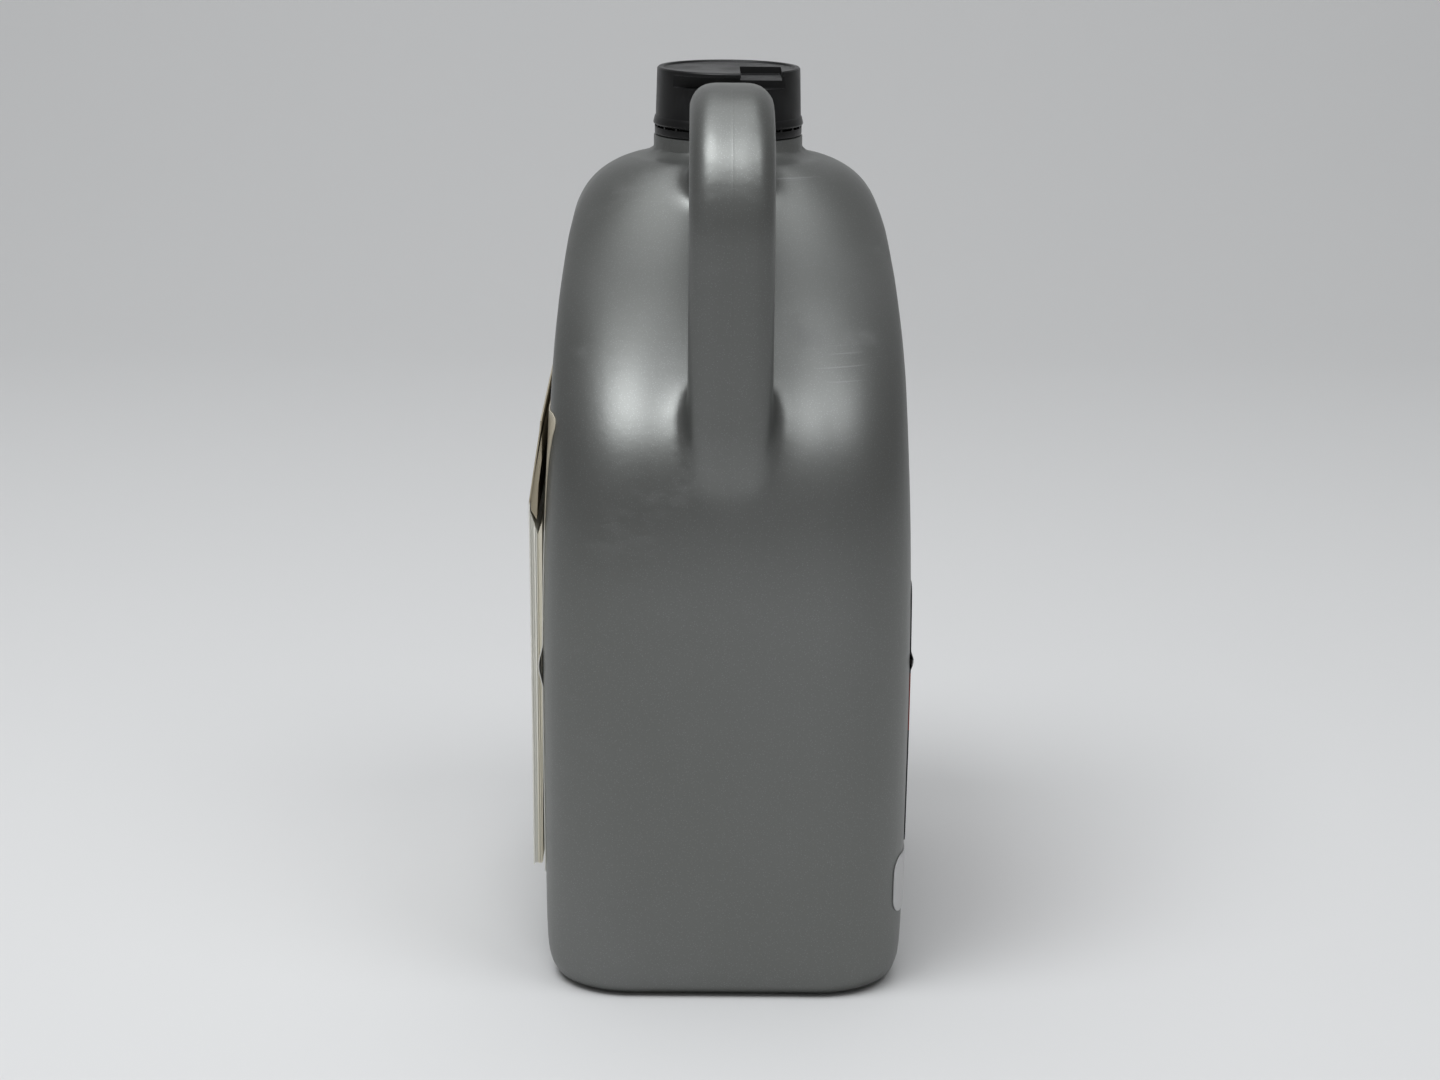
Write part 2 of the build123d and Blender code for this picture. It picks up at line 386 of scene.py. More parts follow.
def rounded(profile, radius, steps=3):
    """A closed profile with its corners cut by arcs of up to radius."""
    made, count = [], len(profile)
    for i, corner in enumerate(profile):
        here = Vector(corner)
        before, after = Vector(profile[i - 1]) - here, Vector(profile[(i + 1) % count]) - here
        reach = min(radius, before.length * 0.45, after.length * 0.45)
        start, end = here + before.normalized() * reach, here + after.normalized() * reach
        for k in range(steps + 1):
            t = k / steps
            made.append(start * (1 - t) ** 2 + here * 2 * t * (1 - t) + end * t ** 2)
    return [tuple(p) for p in made]


def cad_bmesh(node):
    """A merged copy of a CAD node's mesh."""
    bm = bmesh.new()
    bm.from_mesh(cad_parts[node].data)
    bmesh.ops.remove_doubles(bm, verts=bm.verts, dist=2e-6)
    return bm


def plain(piece):
    """The piece with its modifiers made part of its mesh."""
    bpy.context.view_layer.update()
    evaluated = piece.evaluated_get(bpy.context.evaluated_depsgraph_get())
    mesh = bpy.data.meshes.new_from_object(evaluated)
    mesh.name = piece.name
    piece.modifiers.clear()
    piece.data = mesh
    return piece


def cut(piece, tool, operation):
    """Joins a closed tool to a piece, or takes it away, and removes the tool."""
    made = piece.modifiers.new("cut", "BOOLEAN")
    made.operation, made.object, made.solver = operation, tool, "MANIFOLD"
    plain(piece)
    bpy.data.objects.remove(tool)
    return piece


def completed(piece, finish, slot, body, *nodes, sharp=35.0):
    """Gives a finished mesh its material and shading and ties it to the frame."""
    if not len(piece.data.polygons):
        raise RuntimeError(f"{piece.name} came out empty")
    piece.data.materials.clear()
    piece.data.materials.append(finish.material)
    piece.data.shade_smooth()
    piece.data.set_sharp_from_angle(angle=math.radians(sharp))
    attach(piece, body)
    if nodes:
        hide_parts(*nodes)
    return piece


# ---- geometry nodes --------------------------------------------------------------------------
class Pattern:
    """A Geometry Nodes tree with named inputs, run on a new object."""

    KINDS = {int: "NodeSocketInt", float: "NodeSocketFloat", tuple: "NodeSocketVector"}

    def __init__(self, name, inputs):
        self.name, self.values = name, inputs
        self.tree = bpy.data.node_groups.new(name, "GeometryNodeTree")
        face = self.tree.interface
        face.new_socket("Geometry", in_out="INPUT", socket_type="NodeSocketGeometry")
        self.sockets = {
            key: face.new_socket(key, in_out="INPUT", socket_type=self.KINDS[type(value)])
            for key, value in inputs.items()}
        face.new_socket("Geometry", in_out="OUTPUT", socket_type="NodeSocketGeometry")
        self.entry = self.tree.nodes.new("NodeGroupInput").outputs

    def node(self, kind, settings=None, values=None):
        """One node: its type, its settings first, then values or links of its sockets."""
        made = self.tree.nodes.new(kind)
        for key, value in (settings or {}).items():
            setattr(made, key, value)
        for key, value in (values or {}).items():
            if isinstance(value, bpy.types.NodeSocket):
                self.tree.links.new(value, made.inputs[key])
            else:
                made.inputs[key].default_value = value
        return made

    def run(self, result, finish, mesh=None):
        """Realizes the result with its material and returns it as a plain piece."""
        real = self.node("GeometryNodeRealizeInstances", None, {0: result})
        done = self.node(
            "GeometryNodeSetMaterial", None,
            {"Geometry": real.outputs[0], "Material": finish.material})
        end = self.tree.nodes.new("NodeGroupOutput")
        self.tree.links.new(done.outputs[0], end.inputs[0])
        piece = added(self.name, mesh or bpy.data.meshes.new(self.name))
        made = piece.modifiers.new(self.name, "NODES")
        made.node_group = self.tree
        for key, socket in self.sockets.items():
            made[socket.identifier] = self.values[key]
        return plain(piece)


def screw_thread(name, finish, radius, start, lead, turns, ridge):
    """A round ridge on a screw line, thinned out at both ends, round the neck's axis."""
    pattern = Pattern(name, {
        "Radius": radius, "Rise": lead * turns, "Turns": turns, "Ridge": ridge,
        "Start": (NECK.x, NECK.y, start)})
    entry = pattern.entry
    line = pattern.node("GeometryNodeCurveSpiral", None, {
        "Resolution": 72, "Rotations": entry["Turns"], "Start Radius": entry["Radius"],
        "End Radius": entry["Radius"], "Height": entry["Rise"]})
    along = pattern.node("GeometryNodeSplineParameter").outputs["Factor"]
    from_end = pattern.node("ShaderNodeMath", {"operation": "SUBTRACT"}, {0: 1.0, 1: along})
    nearest = pattern.node(
        "ShaderNodeMath", {"operation": "MINIMUM"}, {0: along, 1: from_end.outputs[0]})
    share = pattern.node("ShaderNodeMapRange", {"interpolation_type": "SMOOTHSTEP"}, {
        "Value": nearest.outputs[0], "From Min": 0.0, "From Max": 0.06,
        "To Min": 0.12, "To Max": 1.0})
    thinned = pattern.node(
        "GeometryNodeSetCurveRadius", None, {"Curve": line.outputs[0], "Radius": share.outputs[0]})
    section = pattern.node(
        "GeometryNodeCurvePrimitiveCircle", None, {"Resolution": 12, "Radius": entry["Ridge"]})
    swept = pattern.node("GeometryNodeCurveToMesh", None, {
        "Curve": thinned.outputs[0], "Profile Curve": section.outputs[0], "Fill Caps": True})
    placed = pattern.node("GeometryNodeTransform", None, {
        "Geometry": swept.outputs[0], "Translation": entry["Start"]})
    return outward(pattern.run(placed.outputs[0], finish))


def outward(piece, near=1e-6):
    """Merges a closed piece's points, drops flat slivers and turns its faces outwards."""
    bm = bmesh.new()
    bm.from_mesh(piece.data)
    bmesh.ops.remove_doubles(bm, verts=bm.verts, dist=near)
    bmesh.ops.dissolve_degenerate(bm, dist=near, edges=bm.edges)
    bmesh.ops.recalc_face_normals(bm, faces=bm.faces)
    bm.to_mesh(piece.data)
    bm.free()
    return piece


# ---- finishes --------------------------------------------------------------------------------
def bottle_finish():
    """Grey plastic with fine bright flecks, a faint orange peel, a parting line and scuffs."""
    own = bpy.context.scene.oil_bottle
    finish = Finish("bottle_plastic", metallic=0.8, specular_ior_level=0.5)
    fleck = finish.cells(1500.0).rise(0.30, 0.12)
    cloud = finish.noise(9.0, 3.0).rise(0.3, 0.7)
    scuff = finish.streaks((22.0, 22.0, 900.0), 0.70, 0.60)
    rub = finish.noise(26.0, 5.0, 0.7, finish.stretched((1.0, 1.0, 2.2))).rise(0.56, 0.74)
    seam = abs(finish.y - MIDDLE_Y).rise(0.45 * MM, 0.12 * MM)
    tone = finish.mix(0.42 * fleck + 0.16 * cloud, own.colour[:], own.fleck_colour[:])
    worn = finish.mix(0.28 * scuff + 0.07 * rub, tone, (0.42, 0.42, 0.43))
    skin = 0.55 * finish.noise(420.0, 2.0) + 0.30 * finish.noise(1400.0, 1.0)
    finish.feed(
        base_color=worn,
        roughness=0.38 + 0.06 * cloud + 0.10 * rub + 0.14 * scuff)
    return finish.bump(skin + 0.55 * seam + 0.45 * scuff, 0.045 * MM)


def cap_finish():
    """Black satin plastic with a fine spark-eroded grain and finger marks."""
    own = bpy.context.scene.closure
    finish = Finish("cap_plastic", metallic=0.0, specular_ior_level=0.32)
    marks = finish.noise(70.0, 4.0, 0.6).rise(0.42, 0.66)
    grain = finish.noise(2600.0, 2.0)
    dust = finish.cells(900.0).rise(0.07, 0.0) * finish.noise(160.0).rise(0.5, 0.62)
    finish.feed(
        base_color=finish.mix(0.25 * dust + 0.04 * marks, own.colour[:], (0.08, 0.08, 0.08)),
        roughness=0.28 + 0.10 * marks + 0.08 * grain)
    return finish.bump(grain + 0.4 * finish.noise(500.0), 0.02 * MM)


def paper_finish(name, colour, fields):
    """Coated paper: faint fibres, handling marks and plain fields of colour, some of which are
    painted shade.
    """
    finish = Finish(name, metallic=0.0, specular_ior_level=0.45)
    fibre = finish.noise(900.0, 4.0, 0.7, finish.stretched((1.0, 1.0, 0.35)))
    cloud = finish.noise(30.0, 4.0, 0.6).rise(0.35, 0.75)
    tone = finish.mix(0.14 * fibre + 0.14 * cloud, colour, [0.72 * c for c in colour])
    for mask, shade in fields(finish):
        tone = finish.mix(mask, tone, shade)
    finish.feed(base_color=tone, roughness=0.42 + 0.12 * cloud + 0.06 * fibre)
    return finish.bump(0.5 * fibre + finish.noise(160.0, 2.0), 0.03 * MM)


def liner_finish():
    """Pale board with fine pores."""
    own = bpy.context.scene.closure
    finish = Finish("liner_board", metallic=0.0)
    pores = finish.cells(1100.0).rise(0.5, 0.1)
    finish.feed(
        base_color=finish.mix(0.3 * pores, own.liner_colour[:], (0.5, 0.47, 0.40)),
        roughness=0.75 + 0.1 * pores)
    return finish.bump(pores, 0.05 * MM)


def foil_finish():
    """Aluminium foil with fine creases, bumped and painted darker along them as shade."""
    own = bpy.context.scene.closure
    finish = Finish("seal_foil", metallic=1.0)
    crease_and_shade = abs(finish.noise(120.0, 3.0) - 0.5).rise(0.05, 0.0)
    finish.feed(
        base_color=finish.mix(0.3 * crease_and_shade, own.foil_colour[:], (0.55, 0.55, 0.55)),
        roughness=0.24 + 0.2 * finish.noise(300.0))
    return finish.bump(crease_and_shade, 0.04 * MM)


def oil_finish():
    """Amber oil, darker towards the bottom."""
    own = bpy.context.scene.closure
    finish = Finish("motor_oil", metallic=0.0, coat_weight=0.6)
    depth = finish.z.rise(0.0, BODY_HIGH.z)
    finish.feed(
        base_color=finish.mix(depth, [0.5 * c for c in own.oil_colour], own.oil_colour[:]),
        roughness=0.08 + 0.05 * finish.noise(20.0))
    return finish.bump(finish.noise(25.0), 0.05 * MM)


# ---- bottle ----------------------------------------------------------------------------------
def skins(height):
    """The CAD bottle's outer skin and its cavity, both closed by a level cut through the neck."""
    bm = cad_bmesh("bottle")
    reach = BAND_RADIUS + 2 * MM
    faces = [f for f in bm.faces if all((v.co - NECK).xy.length < reach for v in f.verts)]
    edges, verts = {e for f in faces for e in f.edges}, {v for f in faces for v in f.verts}
    bmesh.ops.bisect_plane(
        bm, geom=[*verts, *edges, *faces], plane_co=(0, 0, height), plane_no=(0, 0, 1),
        clear_outer=True)
    rims = [e for e in bm.edges if e.is_boundary]
    bmesh.ops.holes_fill(bm, edges=rims, sides=0)
    bmesh.ops.triangulate(bm, faces=[f for f in bm.faces if len(f.verts) > 4])
    left, islands = set(bm.faces), []
    while left:
        island, waiting = set(), [left.pop()]
        while waiting:
            face = waiting.pop()
            island.add(face)
            for other in (f for e in face.edges for f in e.link_faces):
                if other in left:
                    left.discard(other)
                    waiting.append(other)
        islands.append(island)
    islands.sort(key=len, reverse=True)
    made = []
    for island in islands[:2]:
        index, points, faces = {}, [], []
        for face in island:
            row = []
            for v in face.verts:
                if v not in index:
                    index[v] = len(points)
                    points.append(v.co.copy())
                row.append(index[v])
            faces.append(row)
        made.append(from_lists("skin", points, faces))
    bm.free()
    made.sort(key=lambda o: max(v.co.x for v in o.data.vertices))
    return made[1], made[0]


def mesh_arrays(mesh):
    """A mesh's points and its edges' ends as arrays."""
    points = np.zeros(len(mesh.vertices) * 3)
    mesh.vertices.foreach_get("co", points)
    edges = np.zeros(len(mesh.edges) * 2, int)
    mesh.edges.foreach_get("vertices", edges)
    return points.reshape(-1, 3), edges.reshape(-1, 2)


def summed(index, rows, count):
    """Rows of three added up by index."""
    return np.stack([np.bincount(index, rows[:, k], count) for k in range(3)], 1)


def relaxed(points, edges, share):
    """Each point's way to the middle of its neighbours, times share."""
    both = np.concatenate([edges, edges[:, ::-1]])
    count = np.bincount(both[:, 0], minlength=len(points))
    middle = summed(both[:, 0], points[both[:, 1]], len(points)) / np.maximum(count, 1)[:, None]
    return share[:, None] * (middle - points)


def evened(points, edges, rounds):
    """Evens out the facets without shrinking: in by a share, then out again by a little more."""
    for share in (0.5, -0.52) * rounds:
        points = points + relaxed(points, edges, np.full(len(points), share))
    return points


def point_normals(points, corners):
    """Outward normals of the points, from the four corners of each face."""
    a, b, c, d = (points[corners[:, k]] for k in range(4))
    face = np.cross(c - a, d - b)
    total = sum(summed(corners[:, k], face, len(points)) for k in range(4))
    return total / np.maximum(np.linalg.norm(total, axis=1), 1e-12)[:, None]


def filled_creases(mesh, steps, weight):
    """Fills hollow creases like the soft roots of a blown handle, and evens out the facets.
    Only hollow places move outwards, so the handle keeps its thickness."""
    points, edges = mesh_arrays(mesh)
    corners = np.array([list(p.vertices) for p in mesh.polygons if len(p.vertices) == 4])
    points = evened(points, edges, 4)
    weights = weight(points)
    for _ in range(steps):
        way = relaxed(points, edges, weights)
        normal = point_normals(points, corners)
        out = (way * normal).sum(1)
        points = points + np.maximum(out, 0.0)[:, None] * normal + 0.3 * (way - out[:, None] * normal)
    points = evened(points, edges, 3)
    mesh.vertices.foreach_set("co", points.ravel())
    mesh.update()


def root_weight(points):
    """Where creases are filled: round both roots of the handle and the step at the neck."""
    strap_low = Vector((BODY_LOW.x + 14 * MM, BODY_HIGH.z - 102 * MM))
    strap_high = Vector((NECK.x - 38 * MM, BODY_HIGH.z - 42 * MM))
    total = np.zeros(len(points))
    for place, reach in ((strap_low, 62 * MM), (strap_high, 40 * MM)):
        away = np.hypot(points[:, 0] - place.x, points[:, 2] - place.y) / reach
        side = np.abs(points[:, 1] - MIDDLE_Y) / (46 * MM)
        total = np.maximum(total, np.clip(1.6 - 1.6 * np.maximum(away, side), 0, 1))
    ring = np.hypot(points[:, 0] - NECK.x, points[:, 1] - NECK.y)
    step = np.clip(1 - (ring - 36 * MM) / (6 * MM), 0, 1) * (points[:, 2] > BODY_HIGH.z - 42 * MM)
    return 0.5 * np.maximum(total, 0.55 * step)


def neck_profile(own):
    """Half section of the neck: foot, groove under the bead, bead, plain wall and mouth."""
    foot = BAND_RADIUS + own.flange_stand
    groove = NECK_RADIUS + THREAD_DEPTH
    bead = groove + BEAD_STAND
    flange_top = BAND_LOW.z - TURN_GAP
    sunk = flange_top - 5 * MM
    bead_low, bead_high = CAP_LOW.z - 0.5 * MM, CAP_LOW.z + 0.9 * MM
    bore = NECK_RADIUS - own.neck_wall
    return [
        (bore, sunk), (foot, sunk), (foot, flange_top),
        (groove, flange_top + 0.1 * MM), (groove, bead_low), (bead, bead_low + 0.1 * MM),
        (bead - 0.3 * MM, bead_high), (NECK_RADIUS, bead_high + 0.5 * MM),
        (NECK_RADIUS, MOUTH_Z), (bore, MOUTH_Z)]


class OILBOTTLE_OT_bottle(bpy.types.Operator):
    """Make the blown bottle with its soft handle roots, hollow inside, and its neck thread"""

    bl_idname = "oil_bottle.bottle"
    bl_label = "Bottle"

    def execute(self, context):
        own = context.scene.oil_bottle
        neck_cut = BAND_LOW.z - 3.5 * MM
        skin, cavity = skins(neck_cut)
        skin.name = "bottle_shell"
        fine = skin.modifiers.new("even", "REMESH")
        fine.mode, fine.voxel_size, fine.use_smooth_shade = "VOXEL", own.grain, True
        plain(skin)
        filled_creases(skin.data, own.blend_steps, root_weight)
        neck = turned("neck", rounded(neck_profile(own), 0.35 * MM, 2), 128)
        cut(skin, neck, "UNION")
        cut(skin, cavity, "DIFFERENCE")
        bore = NECK_RADIUS - own.neck_wall + 0.03 * MM      # clear of both walls that it opens
        plug = turned("bore", [
            (0.0, neck_cut - 2 * MM), (bore, neck_cut - 2 * MM), (bore, MOUTH_Z + MM),
            (0.0, MOUTH_Z + MM)], 128)
        outward(cut(skin, plug, "DIFFERENCE"), 0.01 * MM)
        finish = bottle_finish()
        completed(skin, finish, "bottle_plastic", "bottle", "bottle", sharp=50.0)
        thread = screw_thread(
            "neck_thread", finish, NECK_RADIUS + own.thread_sunk, THREAD_LOW,
            own.thread_lead, own.thread_turns, own.thread_ridge)
        completed(thread, finish, "bottle_plastic", "bottle")
        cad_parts["oil"].data.materials.clear()
        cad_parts["oil"].data.materials.append(oil_finish().material)
        return {"FINISHED"}


# ---- closure ---------------------------------------------------------------------------------
class OILBOTTLE_OT_closure(bpy.types.Operator):
    """Make the cap with its thread, the tamper band with its bridges, and the seals"""

    bl_idname = "oil_bottle.closure"
    bl_label = "Cap, band and seals"

    def execute(self, context):
        own, bottle = context.scene.closure, context.scene.oil_bottle
        black = cap_finish()
        bm = cad_bmesh("cap")
        bmesh.ops.dissolve_limit(
            bm, angle_limit=math.radians(0.4), verts=bm.verts, edges=bm.edges)
        cap = from_bmesh("screw_cap", bm)
        edge = cap.modifiers.new("edges", "BEVEL")
        edge.width, edge.segments = own.edge_radius, 3
        edge.limit_method, edge.angle_limit = "ANGLE", math.radians(32)
        completed(outward(plain(cap)), black, "cap_plastic", "cap", "cap", sharp=38.0)
        thread = screw_thread(
            "cap_thread", black, NECK_RADIUS + THREAD_ROOM - bottle.thread_sunk,
            THREAD_LOW + bottle.thread_lead / 2, bottle.thread_lead, own.cap_thread_turns,
            bottle.thread_ridge)
        completed(thread, black, "cap_plastic", "cap")
        self.make_band(own, black)
        for node, finish in (("cap_liner", liner_finish()), ("mouth_foil", foil_finish())):
            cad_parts[node].data.materials.clear()
            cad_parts[node].data.materials.append(finish.material)
        return {"FINISHED"}

    def make_band(self, own, black):
        low, high = BAND_LOW.z, BAND_LOW.z + own.band_height
        inner = BAND_RADIUS - own.band_wall
        hook = inner - 0.35 * MM
        band = turned("band", rounded([
            (inner, low), (BAND_RADIUS - 0.1 * MM, low), (BAND_RADIUS, low + 0.4 * MM),
            (BAND_RADIUS, high), (inner, high), (hook, high - 0.5 * MM),
            (inner, high - 1.3 * MM)], 0.2 * MM, 2))
        band.name = "tamper_ring"
        completed(band, black, "cap_plastic", "bottle", "tamper_band", sharp=30.0)
        pattern = Pattern("tamper_bridges", {
            "Count": own.bridge_count, "Rim radius": BAND_RADIUS - own.bridge_width / 2,
            "Bridge size": (own.bridge_width, own.bridge_length, BAND_HIGH.z - high + 0.2 * MM),
            "Centre": (NECK.x, NECK.y, (BAND_HIGH.z + high - 0.2 * MM) / 2)})
        entry = pattern.entry
        rim = pattern.node("GeometryNodeCurvePrimitiveCircle", None, {
            "Resolution": 144, "Radius": entry["Rim radius"]})
        spots = pattern.node("GeometryNodeCurveToPoints", {"mode": "COUNT"}, {
            "Curve": rim.outputs[0], "Count": entry["Count"]})
        bridge = pattern.node("GeometryNodeMeshCube", None, {
            "Size": entry["Bridge size"], "Vertices X": 2, "Vertices Y": 3, "Vertices Z": 3})
        out = pattern.node("GeometryNodeInputPosition").outputs[0]
        facing = pattern.node("FunctionNodeAlignEulerToVector", {"axis": "X"}, {"Vector": out})
        put = pattern.node("GeometryNodeInstanceOnPoints", None, {
            "Points": spots.outputs[0], "Instance": bridge.outputs[0],
            "Rotation": facing.outputs[0]})
        placed = pattern.node("GeometryNodeTransform", None, {
            "Geometry": put.outputs[0], "Translation": entry["Centre"]})
        bridges = pattern.run(placed.outputs[0], black)
        completed(bridges, black, "cap_plastic", "bottle")


# ---- labels ----------------------------------------------------------------------------------
def label_sheet(name, node, side, own, lift=None, columns=96, rows=110):
    """A label that lies on the bottle's face, on the side +1 or -1 of Y, with round corners.
    lift(across, height) gives how far a place has come away, in metres."""
    low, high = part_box(node)
    bm = bmesh.new()
    bm.from_mesh(bpy.data.objects["bottle_shell"].data)
    wall = BVHTree.FromBMesh(bm)
    bm.free()
    corner = min(own.corner, (high.z - low.z) / 2.2)
    heights = []
    for i in range(rows + 1):
        t = i / rows
        heights.append(low.z + (high.z - low.z) * (t - math.sin(4 * math.pi * t) * 0.02))
    inner, outer = [], []
    for z in heights:
        near = min(z - low.z, high.z - z)
        draw = 0.0
        if near < corner:
            draw = corner - math.sqrt(max(corner ** 2 - (corner - near) ** 2, 0.0))
        for j in range(columns + 1):
            x = low.x + draw + (high.x - low.x - 2 * draw) * j / columns
            hit, normal, _, _ = wall.ray_cast(Vector((x, side * 0.2, z)), Vector((0, -side, 0)))
            if hit is None:
                raise RuntimeError(f"{name}: no bottle behind x {x:.4f}, z {z:.4f}")
            away = Vector((normal.x, normal.y, 0)).normalized()
            off = own.sheet_gap + (lift(x, z) if lift else 0.0)
            inner.append(hit + away * off)
            outer.append(hit + away * (off + own.sheet_thickness))
    wide, count = columns + 1, len(inner)
    faces = []
    for i in range(rows):
        for j in range(columns):
            a = i * wide + j
            faces.append((a, a + 1, a + wide + 1, a + wide))
            faces.append((count + a, count + a + wide, count + a + wide + 1, count + a + 1))
    border = list(range(wide))
    border += [i * wide + columns for i in range(1, rows + 1)]
    border += [rows * wide + j for j in range(columns - 1, -1, -1)]
    border += [i * wide for i in range(rows - 1, 0, -1)]
    for a, b in zip(border, border[1:] + border[:1]):
        faces.append((a, b, count + b, count + a))
    return from_lists(name, inner + outer, faces)


def bulge(value, middle, half):
    """1 at the middle and 0 from half away, with a round top and soft ends."""
    t = min(abs(value - middle) / half, 1.0)
    return (1 - t * t) ** 2


def front_fields(own, finish):
    """A plain accent band and a thin pale line across the dark label."""
    low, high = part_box("front_label")
    tall = high.z - low.z
    slope = finish.z + 0.18 * finish.x
    band = slope.within(low.z + 0.30 * tall, low.z + 0.52 * tall, 0.1 * MM)
    line = slope.within(low.z + 0.55 * tall, low.z + 0.57 * tall, 0.1 * MM)
    return [(band, (*own.accent_colour, 1.0)), (line, (0.5, 0.5, 0.5, 1.0))]


def back_fields(own, finish):
    """Painted shade: a strip of the base label behind the booklet's flap, in the flap's brown-grey.
    """
    low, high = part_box("back_label")
    shaded = finish.z.rise(high.z - own.slant - 14 * MM, high.z - own.slant - 8 * MM)
    return [(0.85 * shaded, (*own.flap_shade_colour, 1.0))]


def cover_fields(own, finish):
    """Brown-grey painted shade on the flap above the fold, an accent band and pale grey panels on the
    front.
    """
    low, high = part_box("booklet")
    fold = high.z - own.slant
    # painted shade: the flap above the fold is coloured brown-grey
    flap = finish.z.rise(fold - 2.5 * MM, fold - 1.0 * MM)
    face = finish.y.rise(high.y - 1.9 * MM, high.y - 1.5 * MM)
    inside = face * finish.x.within(low.x + 7 * MM, high.x - 7 * MM, 0.1 * MM)
    band = inside * finish.z.within(fold - 24 * MM, fold - 8 * MM, 0.1 * MM)
    panels = inside * (
        finish.z.within(low.z + 8 * MM, low.z + 44 * MM, 0.1 * MM)
        + finish.z.within(low.z + 50 * MM, low.z + 88 * MM, 0.1 * MM))
    return [
        (band, (*own.accent_colour, 1.0)), (0.5 * panels, (0.50, 0.50, 0.47, 1.0)),
        (flap, (*own.flap_shade_colour, 1.0))]


class OILBOTTLE_OT_labels(bpy.types.Operator):
    """Make the base label with its lifted edge, the dark front label and the silvery strip"""

    bl_idname = "oil_bottle.labels"
    bl_label = "Labels"

    def execute(self, context):
        own = context.scene.labels
        back_low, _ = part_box("back_label")
        front_low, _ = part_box("front_label")

        def eye(x, z):
            return own.lift * bulge(z, own.lift_height, 7.5 * MM) * bulge(x, back_low.x, 10 * MM)

        def blister(x, z):
            return 0.9 * MM * bulge(z, own.lift_height + 3 * MM, 3.2 * MM) * bulge(
                x, front_low.x, 5 * MM)

        sheets = (
            ("base_sheet", "back_label", 1, eye, paper_finish(
                "label_paper", own.paper_colour[:], lambda f: back_fields(own, f)),
             "label_paper"),
            ("front_sheet", "front_label", -1, blister, paper_finish(
                "front_film", own.front_colour[:], lambda f: front_fields(own, f)),
             "front_film"),
            ("strip_sheet", "strip_label", -1, None, paper_finish(
                "strip_film", own.strip_colour[:], lambda f: []), "strip_film"))
        for name, node, side, lift, finish, slot in sheets:
            sheet = label_sheet(name, node, side, own, lift)
            completed(sheet, finish, slot, "bottle", node)
        return {"FINISHED"}


def folded_sheet(name, line, thickness, low_x, high_x, columns=2):
    """A sheet whose section is a line of (y, z) points, from low_x to high_x."""
    line = [Vector(p) for p in line]
    offs = []
    for i, here in enumerate(line):
        along = line[min(i + 1, len(line) - 1)] - line[max(i - 1, 0)]
        offs.append(Vector((along.y, -along.x)).normalized() * thickness)
    section = line + [p + o for p, o in zip(reversed(line), reversed(offs))]
    points, faces, count = [], [], len(section)
    for j in range(columns + 1):
        x = low_x + (high_x - low_x) * j / columns
        points += [(x, p.x, p.y) for p in section]
    for j in range(columns):
        for i in range(count):
            k = (i + 1) % count
            a, b = j * count, (j + 1) * count
            faces.append((a + i, a + k, b + k, b + i))
    half = len(line)
    for end in (0, columns * count):
        for i in range(half - 1):
            faces.append((end + i, end + i + 1, end + count - 2 - i, end + count - 1 - i))
    return from_lists(name, points, faces)


def closed_bar(name, section, low_x, high_x):
    """A closed bar along X from its section of (y, z) points."""
    points = [(x, y, z) for x in (low_x, high_x) for y, z in section]
    count = len(section)
    faces = [(i, (i + 1) % count, count + (i + 1) % count, count + i) for i in range(count)]
    faces += [tuple(range(count)), tuple(range(count, 2 * count))]
    return from_lists(name, points, faces)


